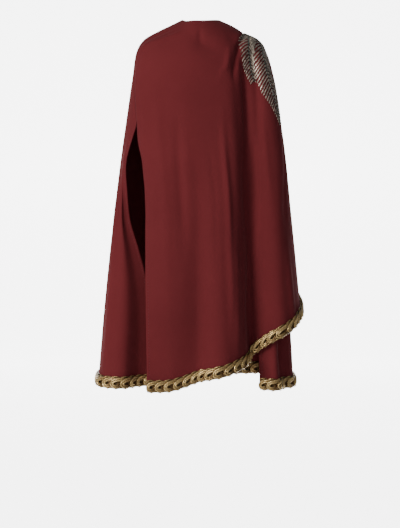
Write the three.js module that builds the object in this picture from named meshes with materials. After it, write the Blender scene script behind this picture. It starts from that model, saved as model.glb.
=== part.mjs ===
import * as THREE from "three";

// A long wool cape as it hangs on a figure. Millimetres, +Z up, the front faces -Y and the
// wearer's left arm is at +X. The origin is in the middle of the neck opening, where the
// shoulders carry the cape. Angles are in degrees round the figure: 0 at the wearer's left
// arm, 90 at the back, 180 at the right arm and 270 at the front.
// "Down" is the length of cloth below the neck edge.

// Cloth, layers and seams
const CLOTH_THICK = 2.2;
const SEAM_GAP = 0.4;
const DRAPE_OUT = 8;
const DRAPE_LIFTS = [215, 262];
const LAP_IN = CLOTH_THICK + 0.8;
const LAP_SUNK = 15;
const LAP_SINKS = [60, 200];

// Lengths of cloth down from the neck edge
const CHEST_DOWN = 350;
const WAIST_DOWN = 600;
const HIP_DOWN = 870;
const FULL_LENGTH = 1135;
const SLIT_TOP = 330;
const UNDER_TOP = 8;
const EARLY_SPREAD = 0.3;
const SHOULDER_ARCH = 1.5;

// The braid that edges every hem
const BRAID_WIDE = 40;
const BRAID_OFF = 0.3;
const BRAID_BELOW = 3;
const BRAID_LOW = 2.2;
const BRAID_HIGH = 6.5;
const BRAID_STEPS = 4;
const BRAID_STRIPS = 4;
const BRAID_SWING = 0.27;
const CORD_HALF_WIDTH = 0.17;
const BRAID_EDGE = 0.25;

const CLOTH_MATERIAL = new THREE.MeshStandardMaterial({ color: 0x6a2528, roughness: 0.92, metalness: 0 });
const BRAID_MATERIAL = new THREE.MeshStandardMaterial({ color: 0xa8813a, roughness: 0.38, metalness: 0.85 });

function table(columns, ...rows) {
  return rows.map((row) => Object.fromEntries(columns.map((column, index) => [column, row[index]])));
}

// Rings of the figure's shoulders and upper body, from the neck down to the chest. The waist
// ring only says how the cloth leaves the chest.
const RINGS = table(
  ["name", "down", "right", "left", "front", "back", "zRight", "zLeft", "zFront", "zBack", "power"],
  ["neck edge", 0, 55, 59, 60, 55, 1, -9, -12, -2, 2.0],
  ["neck root", 25, 82, 88, 76, 72, -12, -21, -34, -14, 2.0],
  ["mid shoulder", 85, 136, 138, 98, 92, -38, -50, -88, -54, 2.2],
  ["outer shoulder", 130, 172, 174, 110, 102, -59, -68, -138, -100, 2.3],
  ["shoulder tip", 180, 196, 198, 117, 110, -94, -100, -196, -160, 2.4],
  ["upper arm", 250, 211, 222, 122, 116, -182, -182, -255, -235, 2.4],
  ["chest", CHEST_DOWN, 236, 247, 130, 126, -CHEST_DOWN, -CHEST_DOWN, -CHEST_DOWN, -CHEST_DOWN, 2.4],
  ["waist", WAIST_DOWN, 272, 278, 162, 155, -WAIST_DOWN, -WAIST_DOWN, -WAIST_DOWN, -WAIST_DOWN, 2.5],
);
const BODY_RINGS = RINGS.slice(0, -1);
const WAIST_RING = RINGS[RINGS.length - 1];

// Where each fold of the hanging cloth comes down at full length, and how far the cut hem
// rises above it. The angle is where the fold leaves the chest.
const FOLD_COLUMNS = ["name", "angle", "x", "y", "rise"];
const DRAPE_FOLDS = table(
  FOLD_COLUMNS,
  ["free edge at the right arm", 203, -160, -212, 0],
  ["front over the right hip", 227, -95, -213, 2],
  ["centre hollow", 263, -10, -190, 26],
  ["centre ridge", 299, 88, -207, 52],
  ["brow of the deep fold", 313, 130, -165, 70],
  ["bottom of the deep fold", 323, 152, -108, 86],
  ["far side of the deep fold", 331, 196, -128, 122],
  ["ridge over the arm", 341, 262, -152, 162],
  ["front of the arm", 350, 308, -95, 194],
  ["side of the arm", 360, 327, -15, 216],
  ["behind the arm", 373, 314, 65, 256],
  ["back ridge", 386, 270, 130, 300],
  ["free back edge", 395, 215, 160, 335],
);
const BACK_FOLDS = table(
  FOLD_COLUMNS,
  ["left front edge", -38, 185, -112, -8],
  ["left roll", -28, 240, -128, -8],
  ["left crease", -22, 254, -96, -8],
  ["left front fold", -15, 286, -70, -8],
  ["left side", -4, 292, -5, -6],
  ["left side back", 9, 276, 75, -4],
  ["first hollow", 22, 232, 110, -2],
  ["first fold", 35, 205, 162, 0],
  ["second hollow", 47, 150, 168, 0],
  ["second fold", 60, 105, 214, 0],
  ["third hollow", 76, 50, 188, 0],
  ["middle fold", 92, -8, 222, 0],
  ["fourth hollow", 107, -55, 186, 0],
  ["fourth fold", 122, -118, 212, 0],
  ["fifth hollow", 136, -160, 165, 0],
  ["fifth fold", 149, -225, 170, 0],
  ["sixth hollow", 160, -255, 100, 0],
  ["right side back", 171, -312, 42, 0],
  ["right side", 180, -320, -50, 0],
  ["right front fold", 190, -290, -126, 0],
  ["right roll", 196, -232, -140, 0],
  ["right hollow", 200, -190, -101, 0],
  ["right front edge", 203, -150, -82, 0],
);
const UNDER_FOLDS = table(
  FOLD_COLUMNS,
  ["centre edge", 268, -20, -150, 38],
  ["centre fold", 290, 50, -132, 38],
  ["middle", 305, 105, -104, 38],
  ["hollow", 323, 150, -84, 36],
  ["edge under the side", 333, 215, -78, 36],
);

// The seam from the neck over the right shoulder to the top of the arm slit
const SLIT_ANGLE = 203;
const RIGHT_SEAM = table(
  ["down", "angle"],
  [0, 184], [85, 185], [180, 187], [250, 193], [SLIT_TOP, SLIT_ANGLE],
);
// The hidden seam over the left shoulder, where the under front laps under the back
const LEFT_EDGE_ANGLE = -38;
const LAP_ANGLE = 11;
const LEFT_SEAM = table(
  ["down", "angle"],
  [0, 0], [85, -2], [180, -6], [250, -18], [SLIT_TOP, LEFT_EDGE_ANGLE],
);
const SEAM_REACH = 50;

// The arm slit: how far each of its edges is drawn aside, along X
const SLIT_FRONT = table(
  ["down", "aside"],
  [SLIT_TOP, 0], [375, 11], [412, 22], [470, 25], [570, 19], [750, 10], [FULL_LENGTH, 0],
);
const SLIT_SIDE = table(
  ["down", "aside"],
  [SLIT_TOP, 0], [370, -10], [412, -22], [505, -33], [615, -37], [700, -18], [790, 0], [FULL_LENGTH, 0],
);
const SLIT_FRONT_REACH = 16;
const SLIT_SIDE_REACH = 8;

// Between the chest and the left arm every layer sinks in, and the arm itself is round
const HOLLOW = { angle: 323, reach: 8.5, depth: -36, from: 30, to: 320 };
const ARM = { angle: 342, reach: 10, depth: 16, from: 110, to: 350 };
const FIGURE_FADES = [350, 800];

// Rows of points down every piece; the last ones close up where the hem is high
const UPPER_ROWS = [25, 60, 100, 145, 200, 265, SLIT_TOP];
const LOWER_ROWS = [372, 412, 470, 560, 665, 790, 930];
const ROWS_CLEAR_OF_BRAID = 60;

function column(rows, name) {
  return rows.map((row) => row[name]);
}

function smoothStep(value, from, to) {
  const part = Math.min(Math.max((value - from) / (to - from), 0), 1);
  return part * part * (3 - 2 * part);
}

// A smooth curve through values at uneven knots; slopes may fix the slope at a knot
function smoothCurve(knots, values, at, slopes = {}) {
  const last = knots.length - 1;
  let left = 0;
  while (left < last - 1 && at >= knots[left + 1]) left += 1;
  const rise = (index) => (values[index + 1] - values[index]) / (knots[index + 1] - knots[index]);
  const slope = (index) => {
    if (index in slopes) return slopes[index];
    if (index === 0) return rise(0);
    if (index === last) return rise(last - 1);
    const before = knots[index] - knots[index - 1];
    const after = knots[index + 1] - knots[index];
    return (rise(index - 1) * after + rise(index) * before) / (before + after);
  };
  const span = knots[left + 1] - knots[left];
  const f = (at - knots[left]) / span;
  return (2 * f ** 3 - 3 * f ** 2 + 1) * values[left] + (f ** 3 - 2 * f ** 2 + f) * span * slope(left)
    + (-2 * f ** 3 + 3 * f ** 2) * values[left + 1] + (f ** 3 - f ** 2) * span * slope(left + 1);
}

function alongTable(rows, at, from, to) {
  return smoothCurve(column(rows, from), column(rows, to), at);
}

function angleFrom(centre, angle) {
  return (((angle - centre) % 360) + 540) % 360 - 180;
}

function ringPoint(ring, angle) {
  const across = Math.cos(THREE.MathUtils.degToRad(angle));
  const along = Math.sin(THREE.MathUtils.degToRad(angle));
  const wide = across > 0 ? ring.left : ring.right;
  const deep = along > 0 ? ring.back : ring.front;
  const reach = Math.abs(across / wide) ** ring.power + Math.abs(along / deep) ** ring.power;
  const radius = reach ** (-1 / ring.power);
  const zSide = ring.zRight + (ring.zLeft - ring.zRight) * (1 + across) / 2;
  const zEnd = along > 0 ? ring.zBack : ring.zFront;
  const z = zSide + (zEnd - zSide) * Math.abs(along) ** SHOULDER_ARCH;
  return new THREE.Vector3(radius * across, radius * along, z);
}

const LEVELS = [...column(BODY_RINGS, "down"), WAIST_DOWN, HIP_DOWN, FULL_LENGTH];
const CHEST_LEVEL = BODY_RINGS.length - 1;

// The form of a piece before the figure shapes it: down the shoulders, then out to its folds
function formPoint(piece, angle, down) {
  const points = BODY_RINGS.map((ring) => ringPoint(ring, angle));
  const chest = points[CHEST_LEVEL];
  const foldX = alongTable(piece.folds, angle, "angle", "x");
  const foldY = alongTable(piece.folds, angle, "angle", "y");
  for (const level of LEVELS.slice(CHEST_LEVEL + 1)) {
    const part = (level - CHEST_DOWN) / (FULL_LENGTH - CHEST_DOWN);
    const spread = part * (1 + EARLY_SPREAD * (1 - part));
    points.push(new THREE.Vector3(
      chest.x + (foldX - chest.x) * spread,
      chest.y + (foldY - chest.y) * spread,
      -level,
    ));
  }
  const above = points[CHEST_LEVEL - 1];
  const below = ringPoint(WAIST_RING, angle);
  const before = CHEST_DOWN - LEVELS[CHEST_LEVEL - 1];
  const after = WAIST_RING.down - CHEST_DOWN;
  const place = ["x", "y", "z"].map((axis) => {
    const chestSlope = ((chest[axis] - above[axis]) / before * after
      + (below[axis] - chest[axis]) / after * before) / (before + after);
    return smoothCurve(LEVELS, points.map((point) => point[axis]), down, { [CHEST_LEVEL]: chestSlope });
  });
  place[0] += piece.aside(angle, down);
  return new THREE.Vector3(...place);
}

// Small steps that give a surface's slopes, in degrees and in millimetres
const ANGLE_STEP = 0.3;
const DOWN_STEP = 1;

function normalOf(surface, angle, down) {
  const round = surface(angle + ANGLE_STEP, down).sub(surface(angle - ANGLE_STEP, down));
  const fall = surface(angle, down + DOWN_STEP).sub(surface(angle, down - DOWN_STEP));
  return fall.cross(round).normalize();
}

function figure(angle, down) {
  const parts = [HOLLOW, ARM].map((part) => part.depth * smoothStep(down, part.from, part.to)
    * Math.exp(-((angleFrom(part.angle, angle) / part.reach) ** 2)));
  return (parts[0] + parts[1]) * (1 - smoothStep(down, ...FIGURE_FADES));
}

// The outer face of a piece of cloth, and its outward normal
function clothPoint(piece, angle, down) {
  const form = (a, d) => formPoint(piece, a, d);
  const out = piece.layer(angle, down) + figure(angle, down);
  return form(angle, down).addScaledVector(normalOf(form, angle, down), out);
}

function clothNormal(piece, angle, down) {
  return normalOf((a, d) => clothPoint(piece, a, d), angle, down);
}

// Angles spaced evenly by the length of the hem
const HEM_STEPS = 1200;

function evenAngles(piece, count) {
  const first = piece.folds[0].angle;
  const last = piece.folds[piece.folds.length - 1].angle;
  const step = (last - first) / HEM_STEPS;
  const angles = Array.from({ length: HEM_STEPS + 1 }, (_, index) => first + step * index);
  const place = (angle) => ["x", "y"].map((axis) => alongTable(piece.folds, angle, "angle", axis));
  const places = angles.map(place);
  const lengths = [0];
  for (let index = 1; index <= HEM_STEPS; index += 1) {
    const [x, y] = places[index];
    const [oldX, oldY] = places[index - 1];
    lengths.push(lengths[index - 1] + Math.hypot(x - oldX, y - oldY));
  }
  const total = lengths[HEM_STEPS];
  return Array.from({ length: count + 1 }, (_, index) => {
    if (index === 0) return first;
    if (index === count) return last;
    const wanted = total * index / count;
    const found = lengths.findIndex((length) => length >= wanted - 1e-6);
    return angles[found];
  });
}

// Where a column of points stands at a given height: the columns near a seam lean to it
function columnAngle(piece, angle, down) {
  let moved = angle;
  for (const seam of piece.seams) {
    const away = Math.abs(angle - seam.foot);
    const lean = 1 - smoothStep(away, 0, SEAM_REACH);
    const height = Math.min(down, SLIT_TOP);
    moved += (alongTable(seam.path, height, "down", "angle") - seam.path.at(-1).angle) * lean;
  }
  return moved;
}

// Places of one column: rows down to the braid, then the top and the bottom of the braid
function columnPlaces(piece, angle) {
  const hem = FULL_LENGTH - alongTable(piece.folds, angle, "angle", "rise");
  const braidTop = hem - BRAID_WIDE;
  const room = (braidTop - ROWS_CLEAR_OF_BRAID - SLIT_TOP) / (LOWER_ROWS.at(-1) - SLIT_TOP);
  const lower = LOWER_ROWS.map((row) => SLIT_TOP + (row - SLIT_TOP) * Math.min(1, room));
  return [piece.top, ...UPPER_ROWS, ...lower, braidTop, hem - BRAID_BELOW];
}

function panelPoints(piece) {
  return evenAngles(piece, piece.columns).map((angle) => columnPlaces(piece, angle).map((down) => {
    const at = columnAngle(piece, angle, down);
    const outer = clothPoint(piece, at, down);
    const normal = clothNormal(piece, at, down);
    const ahead = clothPoint(piece, at + ANGLE_STEP, down);
    const round = ahead.sub(clothPoint(piece, at - ANGLE_STEP, down)).normalize();
    outer.addScaledVector(round, piece.seamGap(angle));
    return { outer, normal, inner: outer.clone().addScaledVector(normal, -CLOTH_THICK) };
  }));
}

// A closed mesh through sections, each a closed loop of the same number of points
function loft(sections) {
  const size = sections[0].length;
  const positions = sections.flat().flatMap((point) => [point.x, point.y, point.z]);
  const faces = [];
  for (let row = 0; row + 1 < sections.length; row += 1) {
    for (let index = 0; index < size; index += 1) {
      const next = (index + 1) % size;
      const a = row * size + index;
      const d = row * size + next;
      const b = a + size;
      const c = d + size;
      faces.push(a, d, c, a, c, b);
    }
  }
  const end = (sections.length - 1) * size;
  for (let low = 0, high = size - 1; high - low > 1; low += 1, high -= 1) {
    faces.push(high, low + 1, low, end + low, end + low + 1, end + high);
    if (high - low > 2) {
      faces.push(high, high - 1, low + 1, end + low + 1, end + high - 1, end + high);
    }
  }
  const geometry = new THREE.BufferGeometry();
  geometry.setAttribute("position", new THREE.Float32BufferAttribute(positions, 3));
  geometry.setIndex(faces);
  geometry.computeVertexNormals();
  return geometry;
}

function clothWall(points) {
  return loft(points.map((rows) => [
    ...rows.map((row) => row.outer),
    ...rows.map((row) => row.inner).reverse(),
  ]));
}

// Height of the braid's cords: two strands that cross once in each repeat, round an eye.
// Across runs from 0 at the braid's top to 1 at its foot.
function braidHeight(repeats, across) {
  const swing = BRAID_SWING * Math.cos(Math.PI * repeats);
  const strand = (place) => Math.exp(-(((across - 0.5 - place) / CORD_HALF_WIDTH) ** 2));
  const cords = Math.max(strand(swing), strand(-swing));
  const edge = across === 0 || across === 1 ? BRAID_EDGE : 1;
  return BRAID_LOW + (BRAID_HIGH - BRAID_LOW) * cords * edge;
}

// The braid lies on the last row of the cloth's facets and stands a little below its edge
function braidBand(points) {
  const sections = [];
  for (let index = 0; index + 1 < points.length; index += 1) {
    const isLast = index + 2 === points.length;
    for (let step = 0; step < BRAID_STEPS + (isLast ? 1 : 0); step += 1) {
      const part = step / BRAID_STEPS;
      const [left, right] = [points[index], points[index + 1]];
      const mix = (row, kind) => left.at(row)[kind].clone().lerp(right.at(row)[kind], part);
      const top = mix(-2, "outer");
      const bottom = mix(-1, "outer");
      const topOut = mix(-2, "normal").normalize();
      const bottomOut = mix(-1, "normal").normalize();
      const below = bottom.clone().sub(top).setLength(BRAID_BELOW);
      const loop = [];
      for (let strip = 0; strip <= BRAID_STRIPS; strip += 1) {
        const across = strip / BRAID_STRIPS;
        const out = topOut.clone().lerp(bottomOut, across).normalize();
        const place = top.clone().lerp(bottom.clone().add(below), across);
        loop.push(place.addScaledVector(out, BRAID_OFF + braidHeight(index + part, across)));
      }
      loop.push(bottom.clone().add(below).addScaledVector(bottomOut, BRAID_OFF));
      loop.push(top.clone().addScaledVector(topOut, BRAID_OFF));
      sections.push(loop);
    }
  }
  return loft(sections);
}

// What one edge of the arm slit does to the cloth near it
function drawnAside(rows, reach) {
  return (angle, down) => alongTable(rows, Math.max(down, SLIT_TOP), "down", "aside")
    * Math.exp(-(((angle - SLIT_ANGLE) / reach) ** 2));
}

const BACK = {
  folds: BACK_FOLDS,
  columns: 50,
  top: 0,
  layer: () => 0,
  aside: drawnAside(SLIT_SIDE, SLIT_SIDE_REACH),
  seams: [{ path: RIGHT_SEAM, foot: SLIT_ANGLE }, { path: LEFT_SEAM, foot: LEFT_EDGE_ANGLE }],
  seamGap: (angle) => (angle === SLIT_ANGLE ? -SEAM_GAP / 2 : 0),
};
const DRAPE = {
  folds: DRAPE_FOLDS,
  columns: 33,
  top: 0,
  layer: (angle) => DRAPE_OUT * smoothStep(angle, ...DRAPE_LIFTS),
  aside: drawnAside(SLIT_FRONT, SLIT_FRONT_REACH),
  seams: [{ path: RIGHT_SEAM, foot: SLIT_ANGLE }],
  seamGap: (angle) => (angle === SLIT_ANGLE ? SEAM_GAP / 2 : 0),
};
const UNDER = {
  folds: UNDER_FOLDS,
  columns: 9,
  top: UNDER_TOP,
  layer: (angle, down) => -LAP_IN - (LAP_SUNK - LAP_IN) * smoothStep(down, ...LAP_SINKS),
  aside: () => 0,
  seams: [{ path: LEFT_SEAM, foot: 360 + LEFT_EDGE_ANGLE + LAP_ANGLE }],
  seamGap: () => 0,
};

const cape = new THREE.Group();
function addPiece(name, geometry, material) {
  const mesh = new THREE.Mesh(geometry, material);
  mesh.name = name;
  cape.add(mesh);
}

const backPoints = panelPoints(BACK);
const drapePoints = panelPoints(DRAPE);
const underPoints = panelPoints(UNDER);
addPiece("back", clothWall(backPoints), CLOTH_MATERIAL);
addPiece("front_drape", clothWall(drapePoints), CLOTH_MATERIAL);
addPiece("under_front", clothWall(underPoints), CLOTH_MATERIAL);
addPiece("back_braid", braidBand(backPoints), BRAID_MATERIAL);
addPiece("drape_braid", braidBand(drapePoints), BRAID_MATERIAL);
addPiece("under_braid", braidBand(underPoints), BRAID_MATERIAL);

export default cape;
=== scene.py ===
import math

import bpy
import numpy as np
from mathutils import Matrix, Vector


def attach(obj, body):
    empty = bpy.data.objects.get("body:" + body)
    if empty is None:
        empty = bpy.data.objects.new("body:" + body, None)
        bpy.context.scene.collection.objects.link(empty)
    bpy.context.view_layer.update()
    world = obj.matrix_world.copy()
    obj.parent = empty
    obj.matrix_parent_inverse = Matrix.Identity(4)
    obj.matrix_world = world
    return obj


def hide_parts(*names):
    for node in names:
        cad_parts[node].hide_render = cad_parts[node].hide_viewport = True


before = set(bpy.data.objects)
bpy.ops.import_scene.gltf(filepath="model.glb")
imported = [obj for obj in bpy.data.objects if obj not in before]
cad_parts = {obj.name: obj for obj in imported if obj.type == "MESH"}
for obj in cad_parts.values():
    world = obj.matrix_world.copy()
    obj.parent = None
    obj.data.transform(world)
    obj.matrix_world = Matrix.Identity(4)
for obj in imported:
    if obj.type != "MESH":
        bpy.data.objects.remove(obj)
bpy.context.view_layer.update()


# The back and sides
# One wide piece of heavy felted wool, from the edge of the right arm slit round the back to the
# turned edge at the left front. It hangs from the shoulders and opens into deep folds.
MM = 0.001
CLOTH_THICK = 2.2
SEAM_GAP = 0.4
CHEST_DOWN = 350
FULL_LENGTH = 1135
SLIT_TOP = 330
SLIT_ANGLE = 203
LEFT_EDGE_ANGLE = -38
HEM_COVERED = 3
EARLY_SPREAD = 0.3
SHOULDER_ARCH = 1.5
CUT_NECK_RADIUS = 100
BACK_COLUMNS, BACK_ROWS = 250, 170


def table(columns, *rows):
    names = columns.split()
    return [dict(zip(names, row)) for row in rows]


def column(rows, name):
    return np.array([row[name] for row in rows], float)


# Rings of the general figure that fills the cape, in millimetres, neck to chest. The waist ring
# only says how the cloth leaves the chest. "Down" is the length of cloth below the neck edge.
RINGS = table(
    "name down right left front back z_right z_left z_front z_back power",
    ("neck edge", 0, 55, 59, 60, 55, 1, -9, -12, -2, 2.0),
    ("neck root", 25, 82, 88, 76, 72, -12, -21, -34, -14, 2.0),
    ("mid shoulder", 85, 136, 138, 98, 92, -38, -50, -88, -54, 2.2),
    ("outer shoulder", 130, 172, 174, 110, 102, -59, -68, -138, -100, 2.3),
    ("shoulder tip", 180, 196, 198, 117, 110, -94, -100, -196, -160, 2.4),
    ("under the shoulder", 250, 211, 222, 122, 116, -182, -182, -255, -235, 2.4),
    ("chest", 350, 236, 247, 130, 126, -350, -350, -350, -350, 2.4),
    ("waist", 600, 272, 278, 162, 155, -600, -600, -600, -600, 2.5),
)
BODY_RINGS, WAIST_RING = RINGS[:-1], RINGS[-1]
SKIRT_LEVELS = (600, 870, FULL_LENGTH)
LEVELS = [*column(BODY_RINGS, "down"), *SKIRT_LEVELS]

# Where each fold comes down at full length, and how far the cut hem rises above it. Angles are
# in degrees: 0 at the left side, 90 at the back, 180 at the right side, 270 at the front.
FOLD_COLUMNS = "name angle x y rise"
BACK_FOLDS = table(
    FOLD_COLUMNS,
    ("left front edge", -38, 185, -112, -8),
    ("left roll", -28, 240, -128, -8),
    ("left crease", -22, 254, -96, -8),
    ("left front fold", -15, 286, -70, -8),
    ("left side", -4, 292, -5, -6),
    ("left side back", 9, 276, 75, -4),
    ("first hollow", 22, 232, 110, -2),
    ("first fold", 35, 205, 162, 0),
    ("second hollow", 47, 150, 168, 0),
    ("second fold", 60, 105, 214, 0),
    ("third hollow", 76, 50, 188, 0),
    ("middle fold", 92, -8, 222, 0),
    ("fourth hollow", 107, -55, 186, 0),
    ("fourth fold", 122, -118, 212, 0),
    ("fifth hollow", 136, -160, 165, 0),
    ("fifth fold", 149, -225, 170, 0),
    ("sixth hollow", 160, -255, 100, 0),
    ("right side back", 171, -312, 42, 0),
    ("right side", 180, -320, -50, 0),
    ("right front fold", 190, -290, -126, 0),
    ("right roll", 196, -232, -140, 0),
    ("right hollow", 200, -190, -101, 0),
    ("right front edge", 203, -150, -82, 0),
)

# The seam over the right shoulder, and the hidden one over the left, as angles down the cloth
SEAM_COLUMNS = "down angle"
RIGHT_SEAM = table(SEAM_COLUMNS, (0, 184), (85, 185), (180, 187), (250, 193), (SLIT_TOP, SLIT_ANGLE))
LEFT_SEAM = table(SEAM_COLUMNS, (0, 0), (85, -2), (180, -6), (250, -18), (SLIT_TOP, LEFT_EDGE_ANGLE))
SEAM_REACH = 50

# How far the side's edge of the arm slit is drawn aside, along X
SLIT_SIDE = table(
    "down aside",
    (SLIT_TOP, 0), (370, -10), (412, -22), (505, -33), (615, -37), (700, -18), (790, 0), (FULL_LENGTH, 0),
)
SLIT_SIDE_REACH = 8
NO_PULL_BEYOND = 6

# Between the chest and the left side every layer sinks in, and the left side is round
FIGURE_PARTS = table(
    "name angle reach depth start end",
    ("hollow before the side", 323, 8.5, -36, 30, 320),
    ("round of the side", 342, 10, 16, 110, 350),
)
FIGURE_FADES = (350, 800)

# Creases laid over the folds: half width and height in millimetres, the share of the length in
# which each end fades, and the points (angle, down) that it passes through. The first three are
# shared: the deep fold by every layer, the others by the two pieces that meet at the seam.
CREASE_COLUMNS = "name half_width height fade points"
VALLEY_TOP = [(338, 110), (334.5, 150), (332.5, 200), (332, 260), (331, 330), (329, 450)]
SEAM_GROOVE = (
    "groove of the shoulder seam", 3, -1, 0.1,
    [(184, 6), (185, 85), (187, 180), (193, 250), (203, 328)],
)
TURNED_SLIT_EDGE = ("turned edge of the slit", 5, 0.9, 0.1, [(203, 335), (203, 700), (203, 1120)])
BACK_CREASES = table(
    CREASE_COLUMNS,
    ("blade hollow left", 26, -4, 0.5, [(62, 120), (58, 220), (55, 360)]),
    ("blade hollow right", 22, -4, 0.5, [(124, 135), (120, 250), (117, 400)]),
    ("nape ridge", 20, 3, 0.5, [(88, 40), (91, 120), (94, 250)]),
    ("pull from the right shoulder", 15, 3.5, 0.4, [(165, 115), (148, 190), (134, 300), (128, 420)]),
    ("pull from the left shoulder", 13, 3, 0.4, [(18, 130), (33, 200), (44, 290), (48, 380)]),
    SEAM_GROOVE,
    ("short left drop", 14, -3.5, 0.4, [(40, 380), (41, 520), (42, 640)]),
    ("middle drop", 16, 4, 0.4, [(84, 300), (85, 480), (84, 700)]),
    ("long right drop", 15, -4, 0.3, [(114, 380), (113, 640), (112, 1000)]),
    ("late right drop", 13, 4, 0.4, [(143, 560), (142, 760), (142, 1080)]),
    ("late left drop", 13, 3.5, 0.4, [(67, 640), (67, 820), (68, 1100)]),
    ("right side crease", 14, -4, 0.4, [(186, 560), (186, 800), (186, 1080)]),
    ("right side ridge", 20, 7, 0.35, [(192, 380), (188.5, 640), (189, 860), (189, 1110)]),
    ("pleat behind the left front edge", 8, -11, 0.35,
     [(-24.5, 640), (-24, 860), (-23.5, 1000), (-23.5, 1134)]),
    ("roll beside that pleat", 10, 4, 0.35, [(-29.5, 700), (-29, 860), (-29, 1000), (-29, 1134)]),
    ("left side crease", 12, -3.5, 0.4, [(-9, 620), (-9, 800), (-9, 1060)]),
    ("under the top of the deep fold", 15, -12, 0.3, [(angle - 360, down) for angle, down in VALLEY_TOP]),
    ("under the deep fold", 14, -8, 0.25,
     [(-32, 330), (-34.5, 450), (-37, 560), (-38.5, 640), (-41, 850), (-43, 1030)]),
    TURNED_SLIT_EDGE,
    ("turned edge at the left front", 6, 0.9, 0.1, [(-38, 340), (-38, 700), (-38, 1120)]),
)


def smooth_step(value, start, end):
    part = np.clip((value - start) / (end - start), 0, 1)
    return part * part * (3 - 2 * part)


def smooth_curve(knots, values, at, fixed_slope=None):
    """A smooth curve through values at uneven knots. fixed_slope is (knot number, slope)."""
    *values, at = np.broadcast_arrays(*values, at)
    values = np.stack(values)
    spans = np.diff(knots).reshape(-1, *[1] * at.ndim)
    rises = np.diff(values, axis=0) / spans
    between = (rises[:-1] * spans[1:] + rises[1:] * spans[:-1]) / (spans[:-1] + spans[1:])
    slopes = np.concatenate([rises[:1], between, rises[-1:]])
    if fixed_slope is not None:
        slopes[fixed_slope[0]] = fixed_slope[1]
    left = np.clip(np.searchsorted(knots, at, side="right") - 1, 0, len(knots) - 2)

    def pick(rows, number):
        return np.take_along_axis(rows, number[None], 0)[0]

    span = np.diff(knots)[left]
    f = (at - np.asarray(knots, float)[left]) / span
    return (
        (2 * f ** 3 - 3 * f ** 2 + 1) * pick(values, left)
        + (f ** 3 - 2 * f ** 2 + f) * span * pick(slopes, left)
        + (3 * f ** 2 - 2 * f ** 3) * pick(values, left + 1)
        + (f ** 3 - f ** 2) * span * pick(slopes, left + 1)
    )


def lengths_along(points):
    """How far each point of a line is from its start."""
    return np.concatenate([[0], np.cumsum(np.linalg.norm(np.diff(points, axis=0), axis=-1))])


def through_points(points, at):
    """The angle and the length down of a smooth line through a few points, 0 at its start to 1."""
    knots = np.linspace(0, 1, len(points))
    return [smooth_curve(knots, [point[part] for point in points], at) for part in (0, 1)]


def along_table(rows, at, key, name):
    return smooth_curve(column(rows, key), column(rows, name), at)


def ring_point(ring, angle):
    across, along = np.cos(np.radians(angle)), np.sin(np.radians(angle))
    wide = np.where(across > 0, ring["left"], ring["right"])
    deep = np.where(along > 0, ring["back"], ring["front"])
    reach = np.abs(across / wide) ** ring["power"] + np.abs(along / deep) ** ring["power"]
    radius = reach ** (-1 / ring["power"])
    z_side = ring["z_right"] + (ring["z_left"] - ring["z_right"]) * (1 + across) / 2
    z_end = np.where(along > 0, ring["z_back"], ring["z_front"])
    z = z_side + (z_end - z_side) * np.abs(along) ** SHOULDER_ARCH
    return np.stack([radius * across, radius * along, z], -1)


def figure(angle, down):
    """How far the figure under the cloth pushes it out."""
    out = 0
    for part in FIGURE_PARTS:
        turn = (angle - part["angle"] + 180) % 360 - 180
        share = smooth_step(down, part["start"], part["end"])
        out = out + part["depth"] * share * np.exp(-(turn / part["reach"]) ** 2)
    return out * (1 - smooth_step(down, *FIGURE_FADES))


def unit(vectors):
    return vectors / np.linalg.norm(vectors, axis=-1, keepdims=True)


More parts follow.
